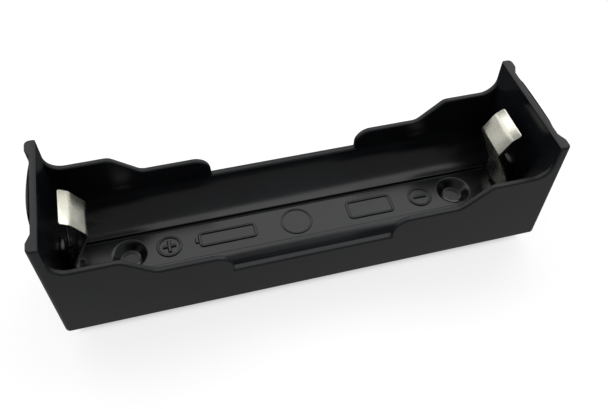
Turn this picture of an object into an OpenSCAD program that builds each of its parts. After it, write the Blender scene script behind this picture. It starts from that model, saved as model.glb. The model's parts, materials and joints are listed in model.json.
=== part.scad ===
// Open-topped holder for one cylindrical cell, soldered to a board by its two spring contacts.
// X runs along the cell, Z up. The origin is the middle of the underside, which lies on the board.

/* [Cell] */
// Diameter of the cell
cell_d = 18.5; // [17:0.1:20]
// Length of the cell
cell_length = 65; // [60:0.5:70]

/* [Housing] */
// Gap between the cell and the housing, all round
cell_gap = 0.1; // [0.05:0.05:0.4]
// Thickness of the side walls
side_wall = 1; // [0.8:0.1:1.6]
// Thickness of the end walls
end_wall = 1.65; // [1.2:0.05:2.4]
// Room for a spring contact between the cell and each end wall
contact_room = 4.7; // [4.4:0.1:6]
// Thickness of the floor under the cell
floor_t = 2.3; // [1.8:0.1:3]
// Width of the flat strip sunk along the middle of the floor
strip_w = 7; // [6.8:0.1:7.5]
// How deep the strip is sunk
strip_depth = 0.6; // [0.2:0.1:0.6]
// Radius of the two lower corners of the cell bay
cradle_r = 5.6; // [3.5:0.1:5.6]
// Height of the end walls
end_h = 20.8; // [19:0.1:23]
// Radius of the upright outer corners
corner_r = 0.8; // [0.3:0.1:1]

/* [Side wall outline] */
// Height of the side walls in the finger notch
notch_h = 7.2; // [6.4:0.1:8]
// Length of the finger notch
notch_length = 25; // [20:0.5:28]
// Radius of the shoulder at each end of the notch
shoulder_r = 2.7; // [1.5:0.1:3]
// Height of the shoulders
shoulder_h = 10.75; // [10.2:0.05:11.5]
// Distance between the feet of the two ramps
ramp_span = 47; // [42:0.5:49]
// Angle of the ramps above the horizontal
ramp_angle = 40; // [34:1:50]
// Radius at the foot and the head of each ramp
ramp_r = 1.9; // [0.8:0.1:2.4]
// Height of the side walls beside the contacts
post_h = 14.5; // [13.6:0.1:15.5]
// Radius where a side wall sweeps up into an end wall
sweep_r = 2.6; // [1.5:0.1:2.8]

/* [End wall outside] */
// Depth of the two shallow grooves in each end wall
groove_depth = 0.65; // [0.3:0.05:0.8]
// Radius of the bowed pad between the grooves
pad_r = 24; // [16:1:40]
// Width of the corner posts outside the grooves
post_w = 1.8; // [1.2:0.1:2.4]
// Width of the slope from a corner post down into its groove
flank_w = 1.4; // [0.6:0.1:1.8]
// How far the top of the pad slopes down
pad_drop = 0.7; // [0.3:0.1:1.2]

/* [Contact stop rib] */
// Width of the rib inside each end wall
rib_w = 2.4; // [1.5:0.1:4]
// How far the rib stands out of the end wall
rib_depth = 0.7; // [0.3:0.05:0.75]
// Height of the top of the rib
rib_h = 8.3; // [6:0.1:9]

/* [Underside pockets] */
// Thickness left between the pockets and the cell bay
web_t = 1.3; // [1:0.1:1.8]
// Thickness of the ribs between the pockets
pocket_rib = 1.2; // [0.8:0.1:2]
// Number of pockets along each side
pocket_count = 4; // [2:1:6]

/* [Screw holes] */
// Distance between the two screw holes
screw_spacing = 55.8; // [50:0.1:58]
// Diameter of the screw holes
screw_d = 3.2; // [2.4:0.1:3.6]
// Diameter of the countersinks at the floor
sink_d = 5.4; // [4.4:0.1:6.4]
// Depth of the countersinks
sink_depth = 1.1; // [0.6:0.1:1.3]

/* [Spring contacts] */
// Thickness of the strip
strip_t = 0.4; // [0.25:0.05:0.5]
// Width of the leaf
leaf_w = 6.5; // [5:0.1:7.4]
// Distance from the middle of the leg to the end wall
leg_gap = 1.6; // [1.5:0.05:1.8]
// How far each crest reaches into the cell's space before a cell is put in
preload = 0.3; // [0.1:0.05:0.6]
// Height of the crest
crest_h = 13.1; // [12:0.1:13.5]
// Angle of the leaf below the crest
lower_angle = 64; // [60:1:68]
// Angle of the facet above the crest
upper_angle = 59; // [52:1:64]
// Length of the facet above the crest
facet_length = 3.4; // [2.6:0.1:3.6]
// Angle of the lip at the top
lip_angle = 32; // [20:1:45]
// Length of the lip
lip_length = 1.6; // [1:0.1:1.8]
// Radius of the bend above the leg
root_bend_r = 2; // [1:0.1:3]
// Radius of the bend at the crest
crest_bend_r = 0.7; // [0.5:0.05:1]
// Radius of the bend below the lip
lip_bend_r = 0.8; // [0.4:0.05:1.2]

/* [Solder pins] */
// Width of each pin
pin_w = 1.3; // [0.8:0.1:2]
// Length of each pin below the underside
pin_reach = 3.2; // [2.5:0.1:4.5]
// Clearance round a pin in its slot
pin_gap = 0.12; // [0.05:0.01:0.2]
// Length of the bevel at the pin's tip
pin_bevel = 0.4; // [0.1:0.1:0.6]

/* [Hidden] */

$fn = 96;
cut = 1;                                     // how far a cutting shape runs past a face
lap = 0.01;                                  // overlap of shapes that join end to end
seat_gap = 0.1;                              // under the shoulders of a leaf
full_flex = 5.5;                             // degrees that a leaf swings about its root

bay_r = cell_d / 2 + cell_gap;
ledge_h = floor_t + strip_depth;             // bottom of the bay beside the strip
cradle = [bay_r - cradle_r, ledge_h + cradle_r];
housing_w = 2 * (bay_r + side_wall);
inner_x = cell_length / 2 + contact_room;    // inner face of an end wall
outer_x = inner_x + end_wall;

leg_x = inner_x - leg_gap;
root_h = floor_t;                            // a leaf bends about this height
crest_turn = 180 - lower_angle - upper_angle;
crest_x = cell_length / 2 - preload;
crest_corner = [crest_x + strip_t / 2 + crest_bend_r - crest_bend_r / cos(crest_turn / 2), crest_h];
leg_corner = [leg_x, crest_h - (leg_x - crest_corner.x) * tan(lower_angle)];
lip_corner = crest_corner + facet_length * [cos(upper_angle), sin(upper_angle)];
leaf_tip = lip_corner + lip_length * [cos(lip_angle), sin(lip_angle)];
leaf_foot = [leg_x, floor_t + seat_gap];

slot_swing = root_h * sin(full_flex);        // how far a pin swings in the floor
slot_inner_x = leg_x - strip_t / 2 - slot_swing - pin_gap;
slot_outer_x = leg_x + strip_t / 2 + pin_gap;

// Unit vector from a to b
function way(a, b) = (b - a) / norm(b - a);

// Vector turned a quarter turn to the left
function left(v) = [-v.y, v.x];

// +1 where the path a, b, c bends to the left, -1 where it bends to the right
function side(a, b, c) = cross(way(a, b), way(b, c)) > 0 ? 1 : -1;

// Angle that the path a, b, c turns through at b
function turn(a, b, c) = acos(way(a, b) * way(b, c));

// Distance from the corner b to the ends of its arc of radius r
function setback(a, b, c, r) = r * tan(turn(a, b, c) / 2);

// Centre of the arc of radius r that rounds the corner b
function arc_centre(a, b, c, r) =
    b - way(a, b) * setback(a, b, c, r) + left(way(a, b)) * side(a, b, c) * r;

// The two ends of that arc
function arc_start(a, b, c, r) = b - way(a, b) * setback(a, b, c, r);
function arc_end(a, b, c, r) = b + way(b, c) * setback(a, b, c, r);

module disc(centre, r) {
    translate(centre)
        circle(r);
}

module both_ends() {
    children();
    mirror([1, 0, 0])
        children();
}

module both_sides() {
    children();
    mirror([0, 1, 0])
        children();
}

// Extrudes an outline drawn in X and Z by width w, centred on Y
module across(w) {
    translate([0, w / 2, 0])
        rotate([90, 0, 0])
            linear_extrude(w)
                children();
}

// Extrudes an outline drawn in Y and Z along X, from x0 to x1
module along(x0, x1) {
    translate([x0, 0, 0])
        rotate([90, 0, 90])
            linear_extrude(x1 - x0)
                children();
}

// Half of the outline from above: the end wall with its bowed pad, grooves and corner posts
module half_plan() {
    half_w = housing_w / 2;
    groove_x = outer_x - groove_depth;
    corner = [outer_x - corner_r, half_w - corner_r];
    translate([-cut, -half_w])
        square([groove_x + cut, housing_w]);
    intersection() {
        disc([outer_x - pad_r, 0], pad_r);
        translate([groove_x - cut, -half_w])
            square([groove_depth + cut, housing_w]);
    }
    both_sides() {
        polygon([
            [groove_x - cut, half_w - post_w - flank_w],
            [groove_x, half_w - post_w - flank_w],
            [outer_x, half_w - post_w],
            [outer_x, corner.y],
            corner,
            [corner.x, half_w],
            [groove_x - cut, half_w]
        ]);
        disc(corner, corner_r);
    }
}

module plan() {
    difference() {
        both_ends()
            half_plan();
        both_ends()
            both_sides()
                translate([outer_x - corner_r, housing_w / 2 - corner_r])
                    difference() {
                        square(corner_r + cut);
                        circle(corner_r);
                    }
    }
}

// Space above one half of a side wall: notch, shoulder, ramp, post and the sweep up to the end wall
module space_above_wall() {
    notch_x = notch_length / 2;
    shoulder = [notch_x + shoulder_r, shoulder_h - shoulder_r];
    foot = [ramp_span / 2, shoulder_h];
    head = foot + (post_h - shoulder_h) * [1 / tan(ramp_angle), 1];
    sweep = [inner_x - sweep_r, post_h + sweep_r];
    before_foot = [shoulder.x, shoulder_h];
    after_head = [sweep.x, post_h];
    difference() {
        union() {
            polygon([
                [-cut, notch_h],
                [notch_x, notch_h],
                [notch_x, shoulder.y],
                shoulder,
                before_foot,
                arc_start(before_foot, foot, head, ramp_r),
                arc_centre(before_foot, foot, head, ramp_r),
                arc_end(before_foot, foot, head, ramp_r),
                arc_start(foot, head, after_head, ramp_r),
                arc_centre(foot, head, after_head, ramp_r),
                arc_end(foot, head, after_head, ramp_r),
                after_head,
                sweep,
                [inner_x, sweep.y],
                [inner_x, end_h + cut],
                [-cut, end_h + cut]
            ]);
            disc(arc_centre(before_foot, foot, head, ramp_r), ramp_r);
            disc(sweep, sweep_r);
        }
        disc(shoulder, shoulder_r);
        disc(arc_centre(foot, head, after_head, ramp_r), ramp_r);
    }
}

// Cross-section of the cell's trough: upright sides, round lower corners and a strip sunk along the middle
module trough() {
    for (y = [-cradle.x, cradle.x])
        disc([y, cradle.y], cradle_r);
    translate([-cradle.x, ledge_h])
        square([2 * cradle.x, cradle_r]);
    translate([-bay_r, cradle.y])
        square([2 * bay_r, end_h]);
    translate([-strip_w / 2, floor_t])
        square([strip_w, cradle_r]);
}

// Cross-section of an underside pocket, which follows the round corner and the side wall
module pocket_outline() {
    difference() {
        translate([strip_w / 2 + web_t, -cut])
            square([bay_r - strip_w / 2 - web_t, cradle.y + cut]);
        disc(cradle, cradle_r + web_t);
    }
}

module pockets() {
    pitch = (2 * inner_x + pocket_rib) / pocket_count;
    for (i = [0:pocket_count - 1]) {
        x0 = i * pitch - inner_x;
        both_sides()
            along(x0, x0 + pitch - pocket_rib)
                pocket_outline();
    }
}

module screw_hole() {
    translate([screw_spacing / 2, 0, -cut])
        cylinder(h = floor_t + 2 * cut, d = screw_d);
    translate([screw_spacing / 2, 0, floor_t - sink_depth])
        cylinder(h = sink_depth, d1 = screw_d, d2 = sink_d);
}

// Sloped top of the bowed pad
module pad_slope() {
    half_w = housing_w / 2 - post_w - flank_w;
    across(2 * half_w)
        polygon([
            [outer_x - groove_depth, end_h],
            [outer_x, end_h - pad_drop],
            [outer_x + cut, end_h - pad_drop],
            [outer_x + cut, end_h + cut],
            [outer_x - groove_depth, end_h + cut]
        ]);
}

module pin_slot() {
    half_w = pin_w / 2 + pin_gap;
    translate([slot_inner_x, -half_w, -cut])
        cube([slot_outer_x - slot_inner_x, 2 * half_w, floor_t + 2 * cut]);
}

module stop_rib() {
    translate([inner_x - rib_depth, -rib_w / 2, floor_t - cut])
        cube([rib_depth + cut, rib_w, rib_h - floor_t + cut]);
}

module housing() {
    color([0.09, 0.09, 0.1]) {
        difference() {
            linear_extrude(end_h)
                plan();
            along(-inner_x, inner_x)
                trough();
            across(housing_w + 2 * cut)
                both_ends()
                    space_above_wall();
            pockets();
            both_ends() {
                screw_hole();
                pin_slot();
                pad_slope();
            }
        }
        both_ends()
            stop_rib();
    }
}

// A straight run of strip from a to b, lapped a little into what it joins at each end
module run(a, b) {
    translate(a)
        rotate(atan2(b.y - a.y, b.x - a.x))
            translate([-lap, -strip_t / 2])
                square([norm(b - a) + 2 * lap, strip_t]);
}

// The bend of centreline radius r at b, between the runs from a and to c
module bend(a, b, c, r) {
    centre = arc_centre(a, b, c, r);
    reach = 2 * (r + strip_t);
    intersection() {
        difference() {
            disc(centre, r + strip_t / 2);
            disc(centre, r - strip_t / 2);
        }
        polygon([
            centre,
            centre + reach * way(centre, arc_start(a, b, c, r)),
            centre + reach * way(centre, b),
            centre + reach * way(centre, arc_end(a, b, c, r))
        ]);
    }
}

module leaf_outline() {
    run(leaf_foot, arc_start(leaf_foot, leg_corner, crest_corner, root_bend_r));
    bend(leaf_foot, leg_corner, crest_corner, root_bend_r);
    run(
        arc_end(leaf_foot, leg_corner, crest_corner, root_bend_r),
        arc_start(leg_corner, crest_corner, lip_corner, crest_bend_r)
    );
    bend(leg_corner, crest_corner, lip_corner, crest_bend_r);
    run(
        arc_end(leg_corner, crest_corner, lip_corner, crest_bend_r),
        arc_start(crest_corner, lip_corner, leaf_tip, lip_bend_r)
    );
    bend(crest_corner, lip_corner, leaf_tip, lip_bend_r);
    run(arc_end(crest_corner, lip_corner, leaf_tip, lip_bend_r), leaf_tip);
}

// Solder pin, drawn in Y and Z, with a bevelled tip
module pin_outline() {
    half_w = pin_w / 2;
    polygon([
        [-half_w, leaf_foot.y + cut],
        [-half_w, pin_bevel - pin_reach],
        [pin_bevel - half_w, -pin_reach],
        [half_w - pin_bevel, -pin_reach],
        [half_w, pin_bevel - pin_reach],
        [half_w, leaf_foot.y + cut]
    ]);
}

// One folded strip: solder pin, leg, leaf, crest, facet and lip
module contact() {
    color([0.8, 0.79, 0.75]) {
        across(leaf_w)
            leaf_outline();
        along(leg_x - strip_t / 2, leg_x + strip_t / 2)
            pin_outline();
    }
}

module positive_contact() {
    mirror([1, 0, 0])
        contact();
}

module negative_contact() {
    contact();
}

housing();
positive_contact();
negative_contact();
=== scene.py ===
import json
import math

import bmesh
import bpy
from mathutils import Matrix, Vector

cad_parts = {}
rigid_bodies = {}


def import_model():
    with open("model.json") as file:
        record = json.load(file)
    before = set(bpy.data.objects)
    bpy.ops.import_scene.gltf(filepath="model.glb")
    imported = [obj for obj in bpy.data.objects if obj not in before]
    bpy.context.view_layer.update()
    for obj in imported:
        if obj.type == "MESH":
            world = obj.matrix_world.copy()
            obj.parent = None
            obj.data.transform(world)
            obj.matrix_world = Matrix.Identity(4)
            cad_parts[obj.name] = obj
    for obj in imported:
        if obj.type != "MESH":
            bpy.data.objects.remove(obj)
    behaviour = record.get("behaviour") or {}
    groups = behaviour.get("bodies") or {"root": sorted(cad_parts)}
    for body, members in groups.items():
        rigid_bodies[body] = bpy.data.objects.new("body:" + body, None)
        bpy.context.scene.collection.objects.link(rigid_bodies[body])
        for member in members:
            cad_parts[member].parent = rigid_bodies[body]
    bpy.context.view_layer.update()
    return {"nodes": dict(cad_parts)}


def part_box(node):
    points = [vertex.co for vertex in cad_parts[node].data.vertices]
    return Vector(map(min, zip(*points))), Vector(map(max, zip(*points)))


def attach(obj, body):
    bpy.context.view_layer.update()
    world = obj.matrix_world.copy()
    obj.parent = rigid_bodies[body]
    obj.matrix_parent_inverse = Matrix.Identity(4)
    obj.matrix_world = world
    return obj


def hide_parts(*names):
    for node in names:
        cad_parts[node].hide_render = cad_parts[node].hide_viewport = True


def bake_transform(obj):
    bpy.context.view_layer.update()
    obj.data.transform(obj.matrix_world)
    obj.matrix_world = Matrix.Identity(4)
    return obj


for spare in list(bpy.data.objects):
    bpy.data.objects.remove(spare)
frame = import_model()
mm = 0.001
tiny = 1e-7          # lengths below this count as none
white = (1, 1, 1, 1)
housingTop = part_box("housing")[1].z
contactLow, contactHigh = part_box("negative_contact")
floorTop = 2.3 * mm  # flat strip along the middle of the floor
print("frame loaded")


class Term:
    # A node socket that can be used in sums, in shader and geometry trees alike
    def __init__(self, tree, socket=None):
        self.tree = tree
        self.socket = socket

    def make(self, kind, settings=None, values=None, out=0):
        # Any node: its settings first, then a value or a link for each socket
        node = self.tree.nodes.new(kind)
        for name, value in (settings or {}).items():
            setattr(node, name, value)
        for name, value in (values or {}).items():
            if isinstance(value, Term):
                self.tree.links.new(value.socket, node.inputs[name])
            else:
                node.inputs[name].default_value = value
        return Term(self.tree, node.outputs[out] if len(node.outputs) else None)

    def output(self, name):
        return Term(self.tree, self.socket.node.outputs[name])

    def maths(self, operation, *terms):
        return self.make("ShaderNodeMath", {"operation": operation}, dict(enumerate(terms)))

    def __add__(self, other):
        return self.maths("ADD", self, other)

    def __sub__(self, other):
        return self.maths("SUBTRACT", self, other)

    def __mul__(self, other):
        return self.maths("MULTIPLY", self, other)

    def __radd__(self, other):
        return self.maths("ADD", other, self)

    def __rsub__(self, other):
        return self.maths("SUBTRACT", other, self)

    def __rmul__(self, other):
        return self.maths("MULTIPLY", other, self)

    def step(self, low, high):
        # 0 below low, 1 above high, smooth between
        values = {"Value": self, "From Min": low, "From Max": high}
        return self.make("ShaderNodeMapRange", {"interpolation_type": "SMOOTHSTEP"}, values)


def newMaterial(name):
    material = bpy.data.materials.new(name)
    material.use_nodes = True
    material.node_tree.nodes.clear()
    return material, Term(material.node_tree)


def objectPoint(graph):
    # Object coordinates in millimetres
    metres = graph.make("ShaderNodeTexCoord").output("Object")
    return graph.make("ShaderNodeVectorMath", {"operation": "SCALE"}, {0: metres, "Scale": 1 / mm})


def stretched(graph, point, factors):
    return graph.make("ShaderNodeVectorMath", {"operation": "MULTIPLY"}, {0: point, 1: factors})


def noise(graph, point, scale, detail=2.0, roughness=0.5):
    values = {"Vector": point, "Scale": scale, "Detail": detail, "Roughness": roughness}
    return graph.make("ShaderNodeTexNoise", None, values)


def mixColour(graph, factor, first, second):
    values = {"Factor": factor, 6: first, 7: second}
    return graph.make("ShaderNodeMix", {"data_type": "RGBA"}, values, out=2)


def mixShader(graph, factor, first, second):
    return graph.make("ShaderNodeMixShader", None, {0: factor, 1: first, 2: second})


def bumped(graph, height):
    # The height counts in millimetres
    return graph.make("ShaderNodeBump", None, {"Height": height, "Distance": mm, "Strength": 1.0})


def finishMaterial(graph, shader):
    graph.make("ShaderNodeOutputMaterial", None, {"Surface": shader})


plasticLook = {
    "cloudScale": 0.12,
    "flowScale": 0.9,
    "flowStretch": (0.12, 1, 1),  # flow lines run along the housing
    "shades": (0.35, 0.7),        # where the cloud turns from dark to light
}


def mouldedPlastic(name, look):
    material, graph = newMaterial(name)
    point = objectPoint(graph)
    cloud = noise(graph, point, look["cloudScale"], 3)
    flow = noise(graph, stretched(graph, point, look["flowStretch"]), look["flowScale"], 3)
    grain = noise(graph, point, look["grainScale"], 2, 0.6)
    colour = mixColour(graph, cloud.step(*look["shades"]), look["dark"], look["light"])
    uneven = (cloud - 0.5) * look["cloudRoughness"]
    streaks = (flow - 0.5) * look["flowRoughness"]
    height = grain * look["grainHeight"] + flow * look["flowHeight"] + cloud * look["waveHeight"]
    shader = graph.make("ShaderNodeBsdfPrincipled", None, {
        "Base Color": colour,
        "Roughness": look["roughness"] + uneven + streaks,
        "Specular IOR Level": look["specular"],
        "Normal": bumped(graph, height),
    })
    finishMaterial(graph, shader)
    return material


satinPlastic = mouldedPlastic("satinPlastic", {
    **plasticLook,
    "dark": (0.006, 0.007, 0.009, 1),
    "light": (0.010, 0.0115, 0.0145, 1),
    "roughness": 0.42,
    "cloudRoughness": 0.10,
    "flowRoughness": 0.06,
    "grainScale": 7.0,
    "grainHeight": 0.004,
    "flowHeight": 0.0,
    "waveHeight": 0.02,
    "specular": 0.42,
})
glossPlastic = mouldedPlastic("glossPlastic", {
    **plasticLook,
    "dark": (0.005, 0.006, 0.008, 1),
    "light": (0.009, 0.0105, 0.013, 1),
    "roughness": 0.23,
    "cloudRoughness": 0.06,
    "flowRoughness": 0.06,
    "grainScale": 9.0,
    "grainHeight": 0.0015,
    "flowHeight": 0.002,
    "waveHeight": 0.03,
    "specular": 0.5,
})


def platedStrip(name, look):
    material, graph = newMaterial(name)
    point = objectPoint(graph)
    rolled = noise(graph, stretched(graph, point, look["lineStretch"]), look["lineScale"], 3, 0.6)
    cloud = noise(graph, point, look["cloudScale"], 3)
    speck = noise(graph, point, look["speckScale"], 2)
    colour = mixColour(graph, cloud.step(*look["shades"]), look["bright"], look["warm"])
    streaks = (rolled - 0.5) * look["lineRoughness"]
    uneven = (cloud - 0.5) * look["cloudRoughness"]
    height = rolled * look["lineHeight"] + speck * look["speckHeight"] + cloud * look["waveHeight"]
    shader = graph.make("ShaderNodeBsdfPrincipled", None, {
        "Base Color": colour,
        "Metallic": 1.0,
        "Roughness": look["roughness"] + streaks + uneven,
        "Normal": bumped(graph, height),
    })
    finishMaterial(graph, shader)
    return material


nickelPlate = platedStrip("nickelPlate", {
    "bright": (0.74, 0.735, 0.65, 1),
    "warm": (0.70, 0.68, 0.57, 1),
    "roughness": 0.27,
    "lineRoughness": 0.10,
    "cloudRoughness": 0.08,
    "lineScale": 5.0,
    "lineStretch": (0.05, 1, 0.05),  # rolling lines run along the strip
    "cloudScale": 0.35,
    "speckScale": 6.0,
    "shades": (0.3, 0.75),           # where the cloud turns from bright to warm
    "lineHeight": 0.0005,
    "speckHeight": 0.0005,
    "waveHeight": 0.03,
})
print("materials made")


def newObject(name, mesh):
    thing = bpy.data.objects.new(name, mesh)
    bpy.context.scene.collection.objects.link(thing)
    return thing


def baked(thing, name):
    # The evaluated result as a plain mesh, with no modifiers left on the object
    depsgraph = bpy.context.evaluated_depsgraph_get()
    mesh = bpy.data.meshes.new_from_object(thing.evaluated_get(depsgraph))
    mesh.name = name
    thing.modifiers.clear()
    thing.data = mesh
    return thing


def smoothed(thing, angle):
    for polygon in thing.data.polygons:
        polygon.use_smooth = True
    thing.data.set_sharp_from_angle(angle=math.radians(angle))
    return thing


housingLook = {
    "edgeWidth": 0.28 * mm,
    "edgeSegments": 3,
    "edgeAngle": 35,
    "insideX": 37.2 * mm,       # half the cell bay's length and width
    "insideY": 9.35 * mm,
    "stripHalf": 3.5 * mm,
    "ledge": 2.9 * mm,          # height of the bay's floor beside the strip
    "cradleY": 3.75 * mm,       # centre of the bay's round lower corners
    "cradleRadius": 5.6 * mm,
    "stepWeight": 0.5,          # share of the edge width on the strip's low steps
    "stepSlack": 0.05 * mm,     # how near the strip's side an edge counts as its step
    "stepHeight": 0.1 * mm,
    "wallSlack": 0.02 * mm,     # how far past a wall still counts as on it
    "edgeDepth": 0.65 * mm,     # edges further under the bay's floor stay sharp
    "glossDepth": 1.5 * mm,     # faces down to here, as in the countersinks, are glossy
    "undercut": -0.5,           # and none that faces down more than this
    "mergeDistance": 0.001 * mm,
    "flatAngle": 0.5,
}


def overFloor(look, point):
    # Height above the bay's floor at that place; outside the bay it is the housing's own height
    y = abs(point.y)
    slack = look["wallSlack"]
    if abs(point.x) > look["insideX"] + slack or y > look["insideY"] + slack:
        return housingTop
    if y < look["stripHalf"] - slack:
        return point.z - floorTop
    radius = look["cradleRadius"]
    reach = min(max(y - look["cradleY"], 0), radius)
    return point.z - look["ledge"] - radius + math.sqrt(radius ** 2 - reach ** 2)


def edgeWeight(look, edge):
    # Full on the edges that show, less on the strip's steps, none in the underside
    middle = (edge.verts[0].co + edge.verts[1].co) / 2
    height = overFloor(look, middle)
    if edge.calc_face_angle(0) < math.radians(look["edgeAngle"]) or height < -look["edgeDepth"]:
        return 0.0
    fromStep = abs(abs(middle.y) - look["stripHalf"])
    onStep = fromStep < look["stepSlack"] and height < look["stepHeight"]
    return look["stepWeight"] if onStep else 1.0


def isInside(look, face):
    # Faces of the cell bay, which come off the polished core
    height = overFloor(look, face.calc_center_median())
    return -look["glossDepth"] < height < housingTop and face.normal.z > look["undercut"]


def makeHousing(look):
    mesh = bpy.data.meshes.new("housing_moulding")
    work = bmesh.new()
    work.from_mesh(frame["nodes"]["housing"].data)
    bmesh.ops.remove_doubles(work, verts=work.verts, dist=look["mergeDistance"])
    flat = math.radians(look["flatAngle"])
    bmesh.ops.dissolve_limit(work, angle_limit=flat, verts=work.verts, edges=work.edges)
    weights = work.edges.layers.float.new("bevel_weight_edge")
    for edge in work.edges:
        edge[weights] = edgeWeight(look, edge)
    for face in work.faces:
        face.material_index = 1 if isInside(look, face) else 0
    work.to_mesh(mesh)
    work.free()
    mesh.materials.append(satinPlastic)
    mesh.materials.append(glossPlastic)
    thing = newObject("housing_moulding", mesh)
    bevel = thing.modifiers.new("edges", "BEVEL")
    bevel.limit_method = "WEIGHT"
    bevel.width = look["edgeWidth"]
    bevel.segments = look["edgeSegments"]
    bevel.use_clamp_overlap = False
    baked(thing, "housing_bevelled")
    smoothed(thing, look["edgeAngle"])
    flats = thing.modifiers.new("flats", "WEIGHTED_NORMAL")
    flats.keep_sharp = True
    return baked(thing, "housing_moulding")


housing = makeHousing(housingLook)
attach(housing, "housing")
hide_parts("housing")
print("housing made", len(housing.data.polygons))


contactLook = {
    "thickness": 0.4 * mm,
    "pinWidth": 1.3 * mm,
    "pinBevel": 0.4 * mm,
    "shoulder": floorTop + 0.1 * mm,  # height of the leaf's shoulders, just clear of the floor
    "crestHeight": 13.1 * mm,
    "lowerAngle": 64,                 # slopes of the leaf, the facet above its crest and the lip
    "upperAngle": 59,
    "facet": 3.4 * mm,
    "lipAngle": 32,
    "lip": 1.6 * mm,
    "bends": (2.0 * mm, 0.7 * mm, 1.4 * mm),  # radii at the root, the crest and the lip
    "arcPoints": 16,
    "cornerRadius": 0.35 * mm,
    "cornerSteps": 6,
    "rim": 0.06 * mm,
    "rimAngle": 60,
    "rowStep": 0.16 * mm,             # length of strip between two rows of faces
    "smoothAngle": 40,
}


def contactCorners(look):
    # Corners of the strip's centreline in X and Z, from the pin's tip to the end of the lip
    half = look["thickness"] / 2
    legX = contactHigh.x - half
    turn = math.radians(180 - look["lowerAngle"] - look["upperAngle"])
    bend = look["bends"][1]
    crestX = contactLow.x + half + bend - bend / math.cos(turn / 2)
    legZ = look["crestHeight"] - (legX - crestX) * math.tan(math.radians(look["lowerAngle"]))
    corners = [Vector((legX, contactLow.z)), Vector((legX, legZ)), Vector((crestX, look["crestHeight"]))]
    for length, angle in ((look["facet"], look["upperAngle"]), (look["lip"], look["lipAngle"])):
        way = Vector((math.cos(math.radians(angle)), math.sin(math.radians(angle))))
        corners.append(corners[-1] + length * way)
    return corners


def pathLength(corners, bends):
    # Length of the centreline with its corners rounded
    total = 0
    for a, b in zip(corners, corners[1:]):
        total += (b - a).length
    for a, b, c, radius in zip(corners, corners[1:], corners[2:], bends):
        angle = (b - a).angle(c - b)
        total += radius * angle - 2 * radius * math.tan(angle / 2)
    return total


def isLevel(edge):
    start, end = edge.verts
    return abs(start.co.z - end.co.z) < tiny


def stripBlank(look, length):
    # The flat stamping: its length along X from the pin's tip, its width along Y
    halfLeaf = contactHigh.y
    halfPin = look["pinWidth"] / 2
    shoulder = look["shoulder"] - contactLow.z
    outline = [
        (0, halfPin - look["pinBevel"]),
        (look["pinBevel"], halfPin),
        (shoulder, halfPin),
        (shoulder, halfLeaf),
    ]
    radius, steps = look["cornerRadius"], look["cornerSteps"]
    for i in range(steps + 1):
        angle = math.radians(90 - 90 * i / steps)
        x = length - radius + radius * math.cos(angle)
        outline.append((x, halfLeaf - radius + radius * math.sin(angle)))
    outline += [(x, -y) for x, y in reversed(outline)]
    work = bmesh.new()
    bottom = work.faces.new([work.verts.new((x, y, -look["thickness"] / 2)) for x, y in outline])
    bmesh.ops.recalc_face_normals(work, faces=[bottom])
    raised = bmesh.ops.extrude_face_region(work, geom=[bottom])
    moved = [v for v in raised["geom"] if isinstance(v, bmesh.types.BMVert)]
    bmesh.ops.translate(work, verts=moved, vec=(0, 0, look["thickness"]))
    bmesh.ops.recalc_face_normals(work, faces=work.faces)
    sharp = math.radians(look["rimAngle"])
    rims = [edge for edge in work.edges if edge.calc_face_angle(0) > sharp and isLevel(edge)]
    bmesh.ops.bevel(work, geom=rims, offset=look["rim"], segments=2, profile=0.5,
                    affect="EDGES", clamp_overlap=True)
    rows = int(length / look["rowStep"])
    for i in range(1, rows):
        geometry = work.verts[:] + work.edges[:] + work.faces[:]
        place = (length * i / rows, 0, 0)
        bmesh.ops.bisect_plane(work, geom=geometry, plane_co=place, plane_no=(1, 0, 0), dist=tiny)
    mesh = bpy.data.meshes.new("strip_blank")
    work.to_mesh(mesh)
    work.free()
    return mesh


def centreline(corners, bends):
    # The corners as a polyline that carries its bend radii
    mesh = bpy.data.meshes.new("strip_path")
    edges = [(i, i + 1) for i in range(len(corners) - 1)]
    mesh.from_pydata([(corner.x, 0, corner.y) for corner in corners], edges, [])
    radii = mesh.attributes.new("bend", "FLOAT", "POINT")
    radii.data.foreach_set("value", [0, *bends, 0])
    return newObject("strip_path", mesh)


def addInput(tree, name, kind, value=None):
    item = tree.interface.new_socket(name, in_out="INPUT", socket_type=kind)
    if value is not None:
        item.default_value = value
    return item.identifier


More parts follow.
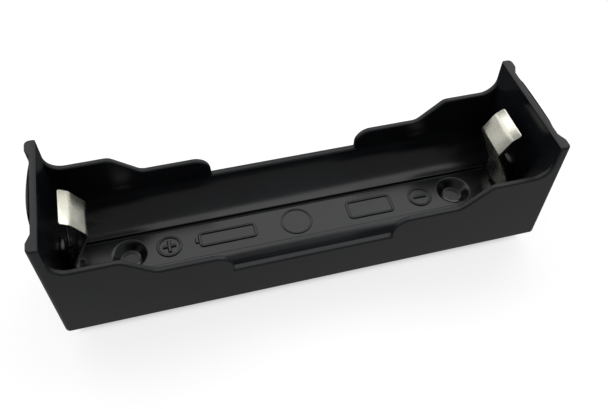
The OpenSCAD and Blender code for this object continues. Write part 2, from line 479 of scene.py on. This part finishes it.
def foldTree(name, material):
    # Folds a flat blank along a path: its X runs along the path, its Z across the thickness
    tree = bpy.data.node_groups.new(name, "GeometryNodeTree")
    sockets = {
        "Geometry": addInput(tree, "Geometry", "NodeSocketGeometry"),
        "Path": addInput(tree, "Path", "NodeSocketObject"),
        "Arc Points": addInput(tree, "Arc Points", "NodeSocketInt", 16),
        "Mirror": addInput(tree, "Mirror", "NodeSocketFloat", 1.0),
    }
    tree.interface.new_socket("Geometry", in_out="OUTPUT", socket_type="NodeSocketGeometry")
    graph = Term(tree)
    given = graph.make("NodeGroupInput")
    path = graph.make("GeometryNodeObjectInfo", None, {"Object": given.output("Path")})
    curve = graph.make("GeometryNodeMeshToCurve", None, {"Mesh": path.output("Geometry")})
    radius = graph.make("GeometryNodeInputNamedAttribute", {"data_type": "FLOAT"}, {"Name": "bend"})
    rounded = graph.make("GeometryNodeFilletCurve", {"mode": "POLY"}, {
        "Curve": curve,
        "Count": given.output("Arc Points"),
        "Radius": radius,
        "Limit Radius": True,
    })
    place = graph.make("GeometryNodeInputPosition")
    apart = graph.make("ShaderNodeSeparateXYZ", None, {0: place})
    along, wide, thick = apart.output("X"), apart.output("Y"), apart.output("Z")
    sample = graph.make("GeometryNodeSampleCurve", {"mode": "LENGTH", "use_all_curves": True}, {
        "Curves": rounded, "Length": along,
    })
    centre = graph.make("ShaderNodeSeparateXYZ", None, {0: sample.output("Position")})
    tangent = graph.make("ShaderNodeSeparateXYZ", None, {0: sample.output("Tangent")})
    mirror = given.output("Mirror")
    spot = graph.make("ShaderNodeCombineXYZ", None, {
        "X": (centre.output("X") - tangent.output("Z") * thick) * mirror,
        "Y": wide * mirror,
        "Z": centre.output("Z") + tangent.output("X") * thick,
    })
    blank = given.output("Geometry")
    folded = graph.make("GeometryNodeSetPosition", None, {"Geometry": blank, "Position": spot})
    real = graph.make("GeometryNodeRealizeInstances", None, {"Geometry": folded})
    dressed = graph.make("GeometryNodeSetMaterial", None, {"Geometry": real, "Material": material})
    graph.make("NodeGroupOutput", None, {"Geometry": dressed})
    return tree, sockets


def makeContact(name, look, tree, sockets, mirror):
    corners = contactCorners(look)
    path = centreline(corners, look["bends"])
    thing = newObject(name, stripBlank(look, pathLength(corners, look["bends"])))
    fold = thing.modifiers.new("fold", "NODES")
    fold.node_group = tree
    fold[sockets["Path"]] = path
    fold[sockets["Arc Points"]] = look["arcPoints"]
    fold[sockets["Mirror"]] = mirror
    baked(thing, name)
    bpy.data.objects.remove(path)
    return smoothed(thing, look["smoothAngle"])


foldStrip, foldSockets = foldTree("fold_strip", nickelPlate)
for side, mirror in (("positive", -1.0), ("negative", 1.0)):
    contact = makeContact(side + "_spring_strip", contactLook, foldStrip, foldSockets, mirror)
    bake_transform(contact)
    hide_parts(side + "_contact")
    print(side, "contact made", len(contact.data.polygons))


markLook = {
    "lineWidth": 0.48 * mm,
    "lineHeight": 0.20 * mm,
    "cornerPoints": 6,
    "rounding": 0.95,           # radius of the line's top corners against its height
    "roundingPoints": 4,
    "smoothAngle": 35,
    "ringRadius": 1.85 * mm,
    "ringPoints": 48,
    "barLength": 2.2 * mm,
    "barWeight": 1.3,           # width and height against the usual line
    "plusX": -21.5 * mm,
    "minusX": 21.7 * mm,
    "cellX": -11.9 * mm,
    "cellLength": 9.2 * mm,
    "cellWidth": 2.5 * mm,
    "cellCorner": 0.5 * mm,
    "nubGap": 0.5 * mm,         # from the cell outline to its short end bar
    "nubHalf": 0.45 * mm,
    "plateX": 12.6 * mm,
    "plateLength": 7.6 * mm,
    "plateWidth": 3.4 * mm,
    "plateCorner": 0.6 * mm,
    "gateRadius": 2.5 * mm,
    "gateX": -0.25 * mm,
    "gateWeight": 0.7,
}


def circlePoints(x, radius, count):
    points = []
    for i in range(count):
        angle = 2 * math.pi * i / count
        points.append((x + radius * math.cos(angle), radius * math.sin(angle)))
    return points


def boxPoints(x, length, width):
    signs = ((-1, -1), (1, -1), (1, 1), (-1, 1))
    return [(x + signX * length / 2, signY * width / 2) for signX, signY in signs]


def markPaths(look):
    # Each path: its points in X and Y, whether it closes, its corner radius,
    # its width and height against the usual line
    bar, weight, count = look["barLength"] / 2, look["barWeight"], look["ringPoints"]
    paths = []
    for x in (look["plusX"], look["minusX"]):
        paths.append((circlePoints(x, look["ringRadius"], count), True, 0, 1.0))
        paths.append(([(x - bar, 0), (x + bar, 0)], False, 0, weight))
    paths.append(([(look["plusX"], -bar), (look["plusX"], bar)], False, 0, weight))
    cell = boxPoints(look["cellX"], look["cellLength"], look["cellWidth"])
    paths.append((cell, True, look["cellCorner"], 1.0))
    nub = look["cellX"] - look["cellLength"] / 2 - look["nubGap"]
    paths.append(([(nub, -look["nubHalf"]), (nub, look["nubHalf"])], False, 0, weight))
    gate = circlePoints(look["gateX"], look["gateRadius"], count)
    paths.append((gate, True, 0, look["gateWeight"]))
    plate = boxPoints(look["plateX"], look["plateLength"], look["plateWidth"])
    paths.append((plate, True, look["plateCorner"], 1.0))
    return paths


def pathMesh(name, paths):
    verts, edges, corner, weight = [], [], [], []
    for points, closed, radius, width in paths:
        first = len(verts)
        verts += [(x, y, floorTop) for x, y in points]
        corner += [radius] * len(points)
        weight += [width] * len(points)
        edges += [(first + i, first + i + 1) for i in range(len(points) - 1)]
        if closed:
            edges.append((len(verts) - 1, first))
    mesh = bpy.data.meshes.new(name)
    mesh.from_pydata(verts, edges, [])
    for label, values in (("bend", corner), ("weight", weight)):
        mesh.attributes.new(label, "FLOAT", "POINT").data.foreach_set("value", values)
    return mesh


def ribTree(name, material):
    # Raises a low rounded rib along every path
    tree = bpy.data.node_groups.new(name, "GeometryNodeTree")
    sockets = {
        "Geometry": addInput(tree, "Geometry", "NodeSocketGeometry"),
        "Line Width": addInput(tree, "Line Width", "NodeSocketFloat", 0.4 * mm),
        "Line Height": addInput(tree, "Line Height", "NodeSocketFloat", 0.15 * mm),
        "Corner Points": addInput(tree, "Corner Points", "NodeSocketInt", 6),
        "Rounding": addInput(tree, "Rounding", "NodeSocketFloat", 0.95),
        "Rounding Points": addInput(tree, "Rounding Points", "NodeSocketInt", 4),
    }
    tree.interface.new_socket("Geometry", in_out="OUTPUT", socket_type="NodeSocketGeometry")
    graph = Term(tree)
    given = graph.make("NodeGroupInput")
    curve = graph.make("GeometryNodeMeshToCurve", None, {"Mesh": given.output("Geometry")})
    radius = graph.make("GeometryNodeInputNamedAttribute", {"data_type": "FLOAT"}, {"Name": "bend"})
    rounded = graph.make("GeometryNodeFilletCurve", {"mode": "POLY"}, {
        "Curve": curve,
        "Count": given.output("Corner Points"),
        "Radius": radius,
        "Limit Radius": True,
    })
    flat = graph.make("GeometryNodeSetCurveNormal", {"mode": "Z_UP"}, {"Curve": rounded})
    lineWidth, lineHeight = given.output("Line Width"), given.output("Line Height")
    profile = graph.make("GeometryNodeCurvePrimitiveQuadrilateral", {"mode": "RECTANGLE"}, {
        "Width": lineWidth, "Height": lineHeight * 2.0,
    })
    soft = graph.make("GeometryNodeFilletCurve", {"mode": "POLY"}, {
        "Curve": profile,
        "Count": given.output("Rounding Points"),
        "Radius": lineHeight * given.output("Rounding"),
        "Limit Radius": True,
    })
    weight = graph.make("GeometryNodeInputNamedAttribute", {"data_type": "FLOAT"}, {"Name": "weight"})
    rib = graph.make("GeometryNodeCurveToMesh", None, {
        "Curve": flat, "Profile Curve": soft, "Scale": weight, "Fill Caps": True,
    })
    real = graph.make("GeometryNodeRealizeInstances", None, {"Geometry": rib})
    dressed = graph.make("GeometryNodeSetMaterial", None, {"Geometry": real, "Material": material})
    graph.make("NodeGroupOutput", None, {"Geometry": dressed})
    return tree, sockets


def makeMarks(look):
    tree, sockets = ribTree("floor_ribs", glossPlastic)
    thing = newObject("floor_marks", pathMesh("floor_marks", markPaths(look)))
    ribs = thing.modifiers.new("ribs", "NODES")
    ribs.node_group = tree
    ribs[sockets["Line Width"]] = look["lineWidth"]
    ribs[sockets["Line Height"]] = look["lineHeight"]
    ribs[sockets["Corner Points"]] = look["cornerPoints"]
    ribs[sockets["Rounding"]] = look["rounding"]
    ribs[sockets["Rounding Points"]] = look["roundingPoints"]
    baked(thing, "floor_marks")
    return smoothed(thing, look["smoothAngle"])


marks = makeMarks(markLook)
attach(marks, "housing")
print("floor marks made", len(marks.data.polygons))


studioLook = {
    "tableSize": 3.0,
    "tableGap": 0.02 * mm,      # under the pins' tips
    "tableColour": (0.90, 0.90, 0.90, 1),
    "glow": 0.50,
    "glowStrength": 1.58,
    "mirrored": 0.80,           # how bright glossy surfaces see the far table
    "mirroredPaintedShade": 0.05,       # and how bright close behind the holder, a painted shade that only reflections show
    "paintedShadeNear": (8.0, 12.0),    # the painted shade fades in and out over these stretches of Y, in mm
    "paintedShadeFar": (42.0, 54.0),
    "frontShade": 0.5,          # the share of that painted shade in front of the holder
    "shadeX": 38.0,             # painted shade: the table doesn't glow under the housing, in mm
    "shadeY": 9.5,
    "shadeEdge": 3.0,
    "worldStrength": 0.28,
}
# Places and sizes in metres, power in watts
softboxes = {
    "top_softbox": {"place": (0.12, 0.28, 0.50), "size": (0.90, 0.32), "power": 1.2},
    "left_softbox": {"place": (-0.42, 0.42, 0.34), "size": (0.50, 0.52), "power": 0.80},
    "right_softbox": {"place": (0.42, 0.42, 0.30), "size": (0.50, 0.45), "power": 0.60},
}


def glowing(graph, strength):
    return graph.make("ShaderNodeEmission", None, {"Color": white, "Strength": strength})


def makeTable(look):
    size, bottom = look["tableSize"], contactLow.z - look["tableGap"]
    mesh = bpy.data.meshes.new("table")
    mesh.from_pydata([(x, y, bottom) for x, y in boxPoints(0, size, size)], [], [(0, 1, 2, 3)])
    material, graph = newMaterial("tableTop")
    ray = graph.make("ShaderNodeLightPath")
    apart = graph.make("ShaderNodeSeparateXYZ", None, {0: objectPoint(graph)})
    along, across = apart.output("X"), apart.output("Y")
    # What the camera sees: a matt board that partly glows, but not under the housing, where the missing
    # glow is painted shade
    edge = look["shadeEdge"]
    pastEnd = graph.maths("ABSOLUTE", along).step(look["shadeX"] - edge, look["shadeX"])
    pastSide = graph.maths("ABSOLUTE", across).step(look["shadeY"] - edge, look["shadeY"])
    outsideShade = graph.maths("MAXIMUM", pastEnd, pastSide)
    board = graph.make("ShaderNodeBsdfDiffuse", None, {"Color": look["tableColour"]})
    lit = ray.output("Is Camera Ray") * outsideShade * look["glow"]
    plain = mixShader(graph, lit, board, glowing(graph, look["glowStrength"]))
    # What glossy surfaces see: the far table at 0, the painted shade at 1
    behind = across.step(*look["paintedShadeNear"])
    beyond = across.step(*look["paintedShadeFar"])
    # Painted shade in the reflections: darker close behind the holder, halfway dark in front of it
    shade = look["frontShade"] + behind * (1 - look["frontShade"]) - beyond
    far, darkReflection = glowing(graph, look["mirrored"]), glowing(graph, look["mirroredPaintedShade"])
    mirrored = mixShader(graph, shade, far, darkReflection)
    topSide = mixShader(graph, ray.output("Is Glossy Ray"), plain, mirrored)
    # From below it is clear, so that the underside can be looked at
    fromBelow = graph.make("ShaderNodeNewGeometry").output("Backfacing")
    clear = graph.make("ShaderNodeBsdfTransparent")
    shader = mixShader(graph, fromBelow, topSide, clear)
    finishMaterial(graph, shader)
    mesh.materials.append(material)
    return newObject("table", mesh)


def makeWorld(look):
    # Plain light all round, seen as white
    world = bpy.data.worlds.new("studio")
    world.use_nodes = True
    world.node_tree.nodes.clear()
    graph = Term(world.node_tree)
    strength = look["worldStrength"]
    light = graph.make("ShaderNodeBackground", None, {"Strength": strength, "Color": white})
    backdrop = graph.make("ShaderNodeBackground", None, {"Strength": 1.0, "Color": white})
    seen = graph.make("ShaderNodeLightPath").output("Is Camera Ray")
    shader = mixShader(graph, seen, light, backdrop)
    graph.make("ShaderNodeOutputWorld", None, {"Surface": shader})
    bpy.context.scene.world = world


def addSoftbox(name, look):
    light = bpy.data.lights.new(name, "AREA")
    light.shape = "RECTANGLE"
    light.size, light.size_y = look["size"]
    light.energy = look["power"]
    thing = newObject(name, light)
    thing.location = look["place"]
    thing.rotation_euler = (-Vector(look["place"])).to_track_quat("-Z", "Y").to_euler()
    return thing


table = makeTable(studioLook)
makeWorld(studioLook)
for name, look in softboxes.items():
    addSoftbox(name, look)

cameraLook = {
    "place": (-17.84 * mm, -66.94 * mm, 92.91 * mm),
    "aim": (2.44 * mm, 4.80 * mm, 0),
    "roll": 1.33,
    "lens": 40.32,
    "shift": (-0.0010, 0.0008),
    "sensor": 36,
    "clipStart": 1 * mm,
}


def makeCamera(look):
    camera = newObject("camera", bpy.data.cameras.new("camera"))
    place, aim = Vector(look["place"]), Vector(look["aim"])
    turn = (aim - place).to_track_quat("-Z", "Y").to_matrix().to_4x4()
    turn @= turn.Rotation(math.radians(look["roll"]), 4, "Z")
    camera.matrix_world = turn.Translation(place) @ turn
    camera.data.lens = look["lens"]
    camera.data.sensor_width = look["sensor"]
    camera.data.shift_x, camera.data.shift_y = look["shift"]
    camera.data.clip_start = look["clipStart"]
    return camera


bpy.context.scene.camera = makeCamera(cameraLook)
bpy.context.scene.view_settings.view_transform = "Standard"
print("studio made")
